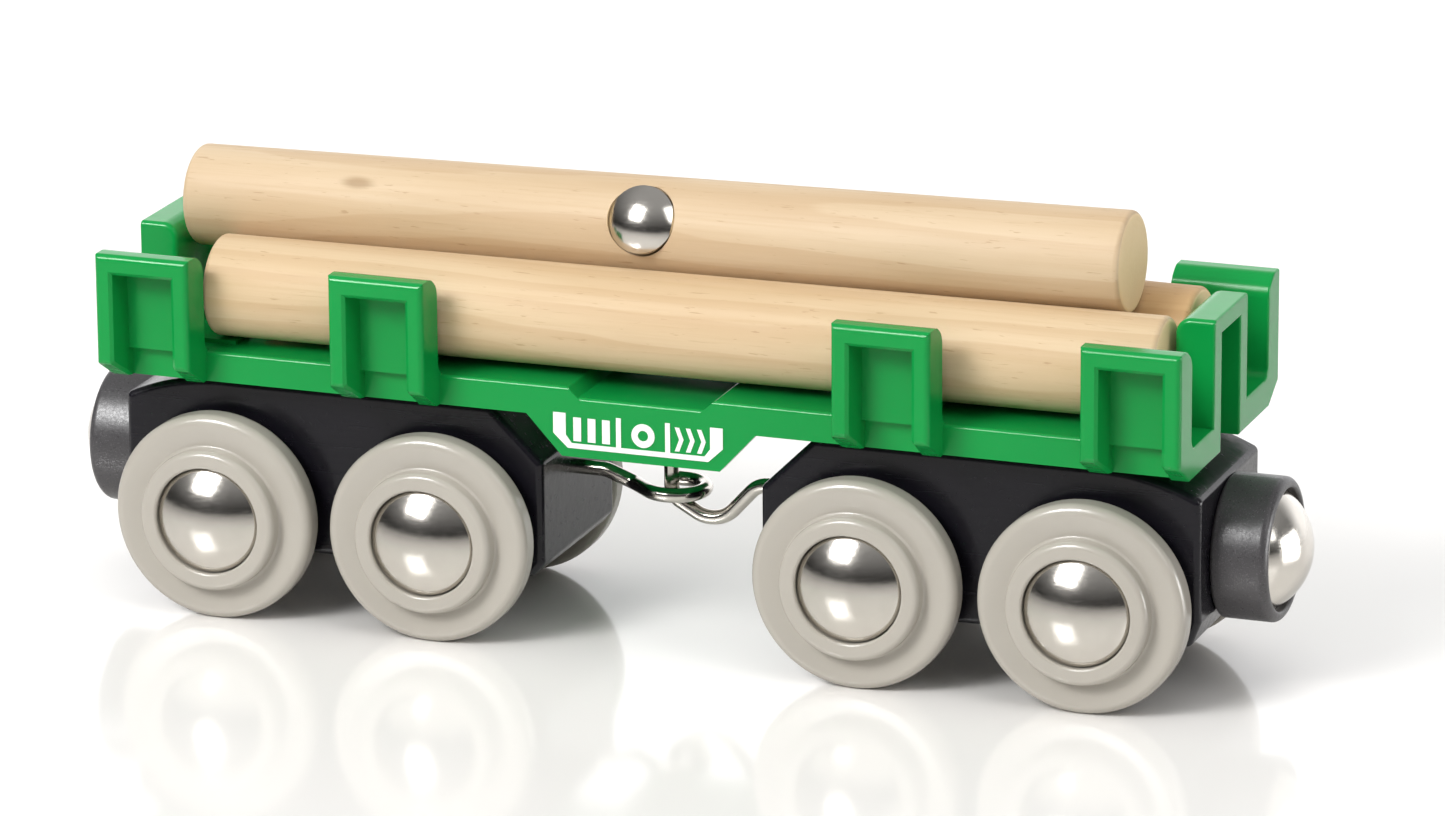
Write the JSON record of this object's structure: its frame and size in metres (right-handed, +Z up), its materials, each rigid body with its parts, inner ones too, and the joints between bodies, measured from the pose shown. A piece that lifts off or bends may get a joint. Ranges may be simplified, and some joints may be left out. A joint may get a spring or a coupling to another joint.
{
  "type": "toy log wagon",
  "caption": "Wooden-railway log wagon: a staked deck on swivelling four-wheel bogies with magnetic couplers, joined by a wire hook and eye, carrying loose logs.",
  "frame": {"origin": "on the floor under the middle of the wagon, half way between the bogie pivots", "axes": "+X along the wagon towards the hook bogie, +Y across, +Z up; the near side is -Y"},
  "size_m": [0.1284, 0.0334, 0.0465],
  "materials": {
    "green_plastic": "glossy moulded plastic",
    "white_print": "satin pad print",
    "black_paint": "gloss black lacquer on beech",
    "grey_plastic": "satin moulded plastic",
    "polished_steel": "polished nickel",
    "plain_steel": "bright drawn wire",
    "dark_plastic": "satin moulded plastic",
    "magnet_steel": "sintered",
    "nylon": "natural",
    "beech": "sanded, unvarnished"
  },
  "bodies": {
    "deck": {"deck_frame": "green_plastic", "near_side_print": "white_print", "far_side_print": "white_print", "front_swivel_screw": "plain_steel", "rear_swivel_screw": "plain_steel", "front_swivel_washer": "nylon", "rear_swivel_washer": "nylon"},
    "front_bogie": {"front_bogie_block": "black_paint", "front_outer_axle": "plain_steel", "front_inner_axle": "plain_steel", "front_coupler_cup": "dark_plastic", "front_coupler_screw": "plain_steel", "front_outer_near_cap": "polished_steel", "front_outer_far_cap": "polished_steel", "front_inner_near_cap": "polished_steel", "front_inner_far_cap": "polished_steel", "link_hook": "plain_steel"},
    "front_magnet": {"front_coupler_magnet": "magnet_steel", "front_coupler_dome": "polished_steel"},
    "front_outer_near_wheel": {"front_outer_near_wheel": "grey_plastic"},
    "front_outer_far_wheel": {"front_outer_far_wheel": "grey_plastic"},
    "front_inner_near_wheel": {"front_inner_near_wheel": "grey_plastic"},
    "front_inner_far_wheel": {"front_inner_far_wheel": "grey_plastic"},
    "rear_bogie": {"rear_bogie_block": "black_paint", "rear_outer_axle": "plain_steel", "rear_inner_axle": "plain_steel", "rear_coupler_cup": "dark_plastic", "rear_coupler_screw": "plain_steel", "rear_outer_near_cap": "polished_steel", "rear_outer_far_cap": "polished_steel", "rear_inner_near_cap": "polished_steel", "rear_inner_far_cap": "polished_steel", "link_eye": "plain_steel"},
    "rear_magnet": {"rear_coupler_magnet": "magnet_steel", "rear_coupler_dome": "polished_steel"},
    "rear_outer_near_wheel": {"rear_outer_near_wheel": "grey_plastic"},
    "rear_outer_far_wheel": {"rear_outer_far_wheel": "grey_plastic"},
    "rear_inner_near_wheel": {"rear_inner_near_wheel": "grey_plastic"},
    "rear_inner_far_wheel": {"rear_inner_far_wheel": "grey_plastic"},
    "upper_log": {"upper_log": "beech", "upper_log_stud": "polished_steel"},
    "near_log": {"near_log": "beech", "near_log_stud": "polished_steel"},
    "far_log": {"far_log": "beech", "far_log_stud": "polished_steel"}
  },
  "joints": [
    {"name": "front_bogie_swivel", "type": "hinge", "parent": "deck", "child": "front_bogie", "pos_m": [0.0337, 0, 0.0195], "axis": [0, 0, 1], "range_deg": [-12, 12]},
    {"name": "front_magnet_spin", "type": "hinge", "parent": "front_bogie", "child": "front_magnet", "pos_m": [0.0605, 0, 0.0142], "axis": [1, 0, 0], "continuous": true},
    {"name": "front_outer_near_wheel_spin", "type": "hinge", "parent": "front_bogie", "child": "front_outer_near_wheel", "pos_m": [0.0452, -0.01235, 0.0105], "axis": [0, 1, 0], "continuous": true},
    {"name": "front_outer_far_wheel_spin", "type": "hinge", "parent": "front_bogie", "child": "front_outer_far_wheel", "pos_m": [0.0452, 0.01235, 0.0105], "axis": [0, 1, 0], "continuous": true},
    {"name": "front_inner_near_wheel_spin", "type": "hinge", "parent": "front_bogie", "child": "front_inner_near_wheel", "pos_m": [0.0222, -0.01235, 0.0105], "axis": [0, 1, 0], "continuous": true},
    {"name": "front_inner_far_wheel_spin", "type": "hinge", "parent": "front_bogie", "child": "front_inner_far_wheel", "pos_m": [0.0222, 0.01235, 0.0105], "axis": [0, 1, 0], "continuous": true},
    {"name": "rear_bogie_swivel", "type": "hinge", "parent": "deck", "child": "rear_bogie", "pos_m": [-0.0337, 0, 0.0195], "axis": [0, 0, 1], "range_deg": [-12, 12]},
    {"name": "rear_magnet_spin", "type": "hinge", "parent": "rear_bogie", "child": "rear_magnet", "pos_m": [-0.0605, 0, 0.0142], "axis": [1, 0, 0], "continuous": true},
    {"name": "rear_outer_near_wheel_spin", "type": "hinge", "parent": "rear_bogie", "child": "rear_outer_near_wheel", "pos_m": [-0.0452, -0.01235, 0.0105], "axis": [0, 1, 0], "continuous": true},
    {"name": "rear_outer_far_wheel_spin", "type": "hinge", "parent": "rear_bogie", "child": "rear_outer_far_wheel", "pos_m": [-0.0452, 0.01235, 0.0105], "axis": [0, 1, 0], "continuous": true},
    {"name": "rear_inner_near_wheel_spin", "type": "hinge", "parent": "rear_bogie", "child": "rear_inner_near_wheel", "pos_m": [-0.0222, -0.01235, 0.0105], "axis": [0, 1, 0], "continuous": true},
    {"name": "rear_inner_far_wheel_spin", "type": "hinge", "parent": "rear_bogie", "child": "rear_inner_far_wheel", "pos_m": [-0.0222, 0.01235, 0.0105], "axis": [0, 1, 0], "continuous": true},
    {"name": "upper_log_lift", "type": "slide", "parent": "deck", "child": "upper_log", "axis": [0, 0, 1], "range_m": [0, 0.09]},
    {"name": "near_log_lift", "type": "slide", "parent": "deck", "child": "near_log", "axis": [0, 0, 1], "range_m": [0, 0.054]},
    {"name": "far_log_lift", "type": "slide", "parent": "deck", "child": "far_log", "axis": [0, 0, 1], "range_m": [0, 0.036]}
  ],
  "couplings": [
    {"joint": "rear_bogie_swivel", "follows": "front_bogie_swivel", "ratio": -1},
    {"joint": "near_log_lift", "follows": "upper_log_lift", "ratio": 0.6},
    {"joint": "far_log_lift", "follows": "upper_log_lift", "ratio": 0.4}
  ]
}
